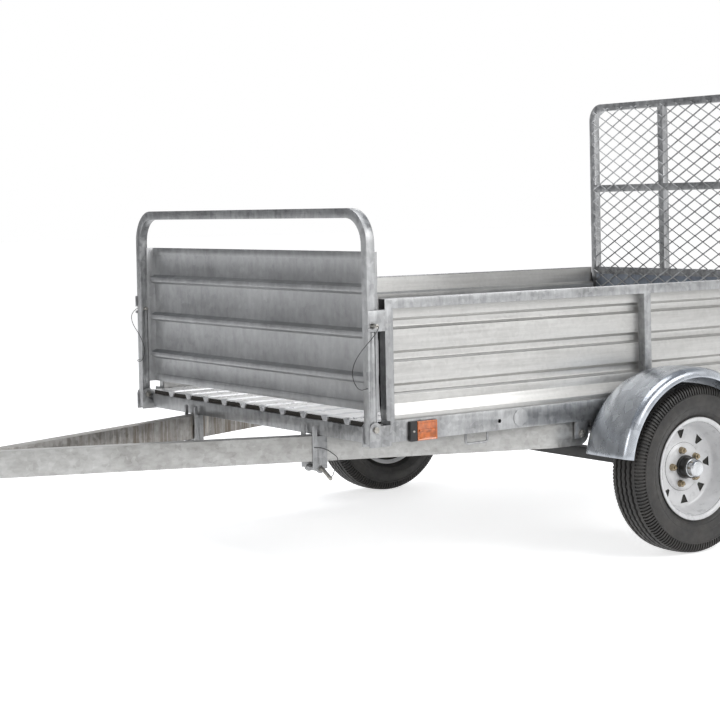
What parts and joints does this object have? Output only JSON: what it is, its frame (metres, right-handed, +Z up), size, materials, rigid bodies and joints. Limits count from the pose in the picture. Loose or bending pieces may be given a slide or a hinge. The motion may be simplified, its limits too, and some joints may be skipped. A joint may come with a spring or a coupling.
{
  "type": "tilt bed utility trailer",
  "caption": "Galvanized single-axle utility trailer with a tilting bed, folding front gate, mesh rear ramp, fenders and a nose jack.",
  "frame": {"origin": "on the ground under the middle of the whole trailer's box", "axes": "+X forward to the coupler, +Y left, +Z up"},
  "size_m": [3.553, 1.9408, 1.578],
  "materials": {
    "galvanized": "hot-dip galvanized, satin with spangle",
    "bright_sheet": "galvanized sheet, bright satin",
    "zinc_bolts": "zinc plated",
    "black_steel": "black paint, satin",
    "black_plastic": "matt",
    "amber_lens": "clear tinted, gloss",
    "red_lens": "clear tinted, gloss",
    "tyre_rubber": "matt",
    "white_rim": "white powder coat",
    "lanyard": "coated wire"
  },
  "bodies": {
    "bed": {"side_rail_left": "galvanized", "side_rail_right": "galvanized", "front_crossmember": "galvanized", "rear_crossmember": "galvanized", "deck_joists": "galvanized", "deck": "bright_sheet", "side_frame_left": "galvanized", "side_frame_right": "galvanized", "side_panel_left": "bright_sheet", "side_panel_right": "bright_sheet", "rail_end_plugs": "black_plastic", "marker_lamps": "black_plastic", "marker_lenses": "amber_lens", "tail_lamps": "black_plastic", "tail_lenses": "red_lens", "tie_down_loops": "galvanized", "gate_hinge_brackets": "galvanized", "gate_hinge_bolts": "zinc_bolts", "gate_keepers": "galvanized", "ramp_hinge_brackets": "galvanized", "ramp_hinge_bolts": "zinc_bolts", "ramp_keepers": "galvanized", "axle": "black_steel", "leaf_spring_left": "galvanized", "leaf_spring_right": "galvanized", "spring_hangers": "galvanized", "axle_clamps": "galvanized", "fender_left": "bright_sheet", "fender_right": "bright_sheet", "tilt_lugs": "galvanized", "tilt_bolts": "zinc_bolts"},
    "wheel_left": {"tyre_left": "tyre_rubber", "rim_left": "white_rim", "hub_left": "black_steel"},
    "wheel_right": {"tyre_right": "tyre_rubber", "rim_right": "white_rim", "hub_right": "black_steel"},
    "tongue": {"tongue_beam_left": "galvanized", "tongue_beam_right": "galvanized", "coupler": "galvanized", "coupler_latch": "zinc_bolts", "jack_plate": "galvanized", "jack_tube": "zinc_bolts", "jack_crank": "zinc_bolts", "tilt_latches": "galvanized", "tilt_latch_pins": "zinc_bolts", "tilt_lanyard_left": "lanyard", "tilt_lanyard_right": "lanyard"},
    "jack_leg": {"jack_leg": "zinc_bolts"},
    "front_gate": {"front_gate_hoop": "galvanized", "front_gate_panel": "bright_sheet", "gate_pins": "zinc_bolts", "gate_lanyard_left": "lanyard", "gate_lanyard_right": "lanyard"},
    "rear_ramp": {"ramp_frame": "galvanized", "ramp_kick_panel": "bright_sheet", "ramp_pins": "zinc_bolts", "ramp_mesh_rising": "bright_sheet", "ramp_mesh_falling": "bright_sheet"}
  },
  "joints": [
    {"name": "wheel_left_spin", "type": "hinge", "parent": "bed", "child": "wheel_left", "pos_m": [-0.7215, 0.879, 0.278], "axis": [0, 1, 0], "continuous": true},
    {"name": "wheel_right_spin", "type": "hinge", "parent": "bed", "child": "wheel_right", "pos_m": [-0.7215, -0.879, 0.278], "axis": [0, 1, 0], "continuous": true},
    {"name": "tongue_tilt", "type": "hinge", "parent": "bed", "child": "tongue", "pos_m": [-0.4145, 0, 0.4015], "axis": [0, 1, 0], "range_deg": [0, 20]},
    {"name": "jack_slide", "type": "slide", "parent": "tongue", "child": "jack_leg", "axis": [0, 0, 1], "range_m": [-0.1, 0.25]},
    {"name": "front_gate_fold", "type": "hinge", "parent": "bed", "child": "front_gate", "pos_m": [0.4235, 0, 0.49], "axis": [0, 1, 0], "range_deg": [0, 92]},
    {"name": "rear_ramp_fold", "type": "hinge", "parent": "bed", "child": "rear_ramp", "pos_m": [-1.7545, 0, 0.47], "axis": [0, -1, 0], "range_deg": [0, 114]}
  ]
}
